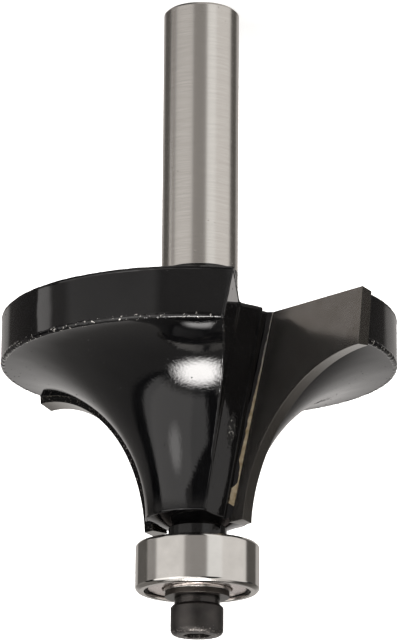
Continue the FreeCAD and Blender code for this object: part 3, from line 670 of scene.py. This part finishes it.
# Shields: thin stainless sheet, pressed to a shallow dish with a groove inside its snapped-in rim. The
# rolled sheet is satin, a little warmer than the rings.
shield_sheet, tree, shader, where = material("pressed stainless sheet")
rolled = add(tree, "ShaderNodeMapping", None, Vector=where, Scale=(7000, 500, 500))
lines = add(tree, "ShaderNodeTexNoise", None, Vector=rolled.outputs[0], Scale=1, Detail=2)
sheet_tone = add(tree, "ShaderNodeValToRGB", None, ((0.3, "c6bcb8"), (0.7, "d6ccc8")),
                 Fac=lines.outputs["Fac"])
# The groove round the rim is painted dark: painted shade in the recess, with grease and dust gathered there.
flat = add(tree, "ShaderNodeVectorMath", {"operation": "MULTIPLY"}, i0=where, i1=(1, 1, 0)).outputs[0]
off_axis = add(tree, "ShaderNodeVectorMath", {"operation": "LENGTH"}, i0=flat).outputs["Value"]
groove_shade_and_grease = add(tree, "ShaderNodeMapRange", None, Value=off_axis, From_Min=5.02 * MM,
             From_Max=5.1 * MM).outputs[0]
tone = add(tree, "ShaderNodeMix", {"data_type": "RGBA"}, i0=groove_shade_and_grease, i6=sheet_tone.outputs[0],
           i7=linear("262322"))
gloss = add(tree, "ShaderNodeMapRange", None, Value=lines.outputs["Fac"], To_Min=0.22, To_Max=0.34)
bump = add(tree, "ShaderNodeBump", None, Height=lines.outputs["Fac"], Distance=0.001 * MM)
tree.links.new(tone.outputs[2], shader.inputs["Base Color"])
tree.links.new(gloss.outputs[0], shader.inputs["Roughness"])
tree.links.new(bump.outputs[0], shader.inputs["Normal"])
shader.inputs["Metallic"].default_value = 1


def spun(profile, turns=128):
    """A closed ring from a closed profile of (radius, height), as a bmesh with outward faces."""
    shape = bmesh.new()
    rings = []
    for turn in range(turns):
        angle = 2 * math.pi * turn / turns
        rings.append([shape.verts.new((radius * math.cos(angle), radius * math.sin(angle), level))
                      for radius, level in profile])
    for ring, after in zip(rings, rings[1:] + rings[:1]):
        for place in range(len(profile)):
            follow = (place + 1) % len(profile)
            shape.faces.new((ring[place], ring[follow], after[follow], after[place]))
    bmesh.ops.recalc_face_normals(shape, faces=shape.faces)
    return shape


GROOVE_DEPTH = 0.16 * MM
for node, up in (("shield_inner", -1), ("shield_outer", 1)):
    points = [vertex.co for vertex in nodes[node].data.vertices]
    radii = [math.hypot(point.x, point.y) for point in points]
    bore, rim = min(radii), max(radii)
    levels = sorted((min(point.z for point in points), max(point.z for point in points)), reverse=up > 0)
    face, back = levels
    profile = [(bore, back), (bore, face - up * 0.05 * MM), (bore + 0.03 * MM, face - up * 0.015 * MM),
               (bore + 0.08 * MM, face)]
    for inset, depth in ((0.5, 0), (0.44, 0.12), (0.38, 0.6), (0.33, 1), (0.12, 1), (0.09, 0.6),
                         (0.06, 0.15), (0.03, 0.05), (0, 0.3)):
        profile.append((rim - inset * MM, face - up * depth * GROOVE_DEPTH))
    profile.append((rim, back))
    dressed(node, smoothed(spun(profile), 40), shield_sheet)

# Ball cage: moulded in glass-filled nylon, cream, with a dull skin in which short fibres show faintly.
nylon, tree, shader, where = material("moulded glass-filled nylon")
fibres = add(tree, "ShaderNodeTexNoise", None, Vector=where, Scale=6000, Detail=2)
tone = add(tree, "ShaderNodeValToRGB", None, ((0.35, "bdb298"), (0.65, "cfc6ae")), Fac=fibres.outputs["Fac"])
bump = add(tree, "ShaderNodeBump", None, Height=fibres.outputs["Fac"], Distance=0.006 * MM)
tree.links.new(tone.outputs[0], shader.inputs["Base Color"])
tree.links.new(bump.outputs[0], shader.inputs["Normal"])
shader.inputs["Roughness"].default_value = 0.5
shader.inputs["IOR"].default_value = 1.53
cage = nodes["ball_cage"]
cage.data.materials.clear()
cage.data.materials.append(nylon)


# Washer, spacer ring and socket head screw: steel with black oxide, a thin dark skin that stays satin,
# a little brown where it is thin and rubbed pale along edges. The spacer ring is turned smooth and oiled.
def oxide(name, dark, pale, sleek, dull, rubbed):
    """A black oxide finish between two tones and two roughnesses, rubbed through in specks above a level."""
    made, tree, shader, where = material(name)
    skin = add(tree, "ShaderNodeTexNoise", None, Vector=where, Scale=900, Detail=4).outputs["Fac"]
    grit = add(tree, "ShaderNodeTexNoise", None, Vector=where, Scale=9000, Detail=1).outputs["Fac"]
    specks = add(tree, "ShaderNodeTexNoise", None, Vector=where, Scale=4500, Detail=3).outputs["Fac"]
    level = add(tree, "ShaderNodeSeparateXYZ", None, Vector=where).outputs["Z"]
    reach = add(tree, "ShaderNodeMapRange", None, Value=level, From_Min=rubbed, From_Max=rubbed + 0.5 * MM,
                To_Min=-0.2, To_Max=0.0)
    lifted = add(tree, "ShaderNodeMath", {"operation": "ADD"}, i0=specks, i1=reach.outputs[0])
    through = add(tree, "ShaderNodeMapRange", None, Value=lifted.outputs[0], From_Min=0.54, From_Max=0.68)
    skin_tone = add(tree, "ShaderNodeValToRGB", None, ((0.3, dark), (0.75, pale)), Fac=skin)
    tone = add(tree, "ShaderNodeMix", {"data_type": "RGBA"}, i0=through.outputs[0], i6=skin_tone.outputs[0],
               i7=linear("96918c"))
    gloss = add(tree, "ShaderNodeMapRange", None, Value=skin, To_Min=sleek, To_Max=dull)
    bump = add(tree, "ShaderNodeBump", None, Height=grit, Distance=0.003 * MM)
    tree.links.new(tone.outputs[2], shader.inputs["Base Color"])
    tree.links.new(gloss.outputs[0], shader.inputs["Roughness"])
    tree.links.new(bump.outputs[0], shader.inputs["Normal"])
    shader.inputs["Metallic"].default_value = 0.9
    return made


# The washer is rubbed on its upper half and the screw at the end of its head, the spacer nowhere.
WASHER_RUBBED, SCREW_RUBBED, NOT_RUBBED = 62.95 * MM, 66.45 * MM, 90 * MM
dressed("clamp_washer", eased(merged("clamp_washer"), 0.07 * MM, 3),
        oxide("black oxide on stamped steel", "433f3c", "504c48", 0.3, 0.45, WASHER_RUBBED))
dressed("spacer_ring", eased(merged("spacer_ring"), 0.04 * MM),
        oxide("oiled black oxide", "3f3d3c", "504d4b", 0.14, 0.24, NOT_RUBBED))
dressed("cap_screw", eased(merged("cap_screw"), 0.06 * MM),
        oxide("black oxide on a rolled screw", "434140", "524f4d", 0.36, 0.5, SCREW_RUBBED))
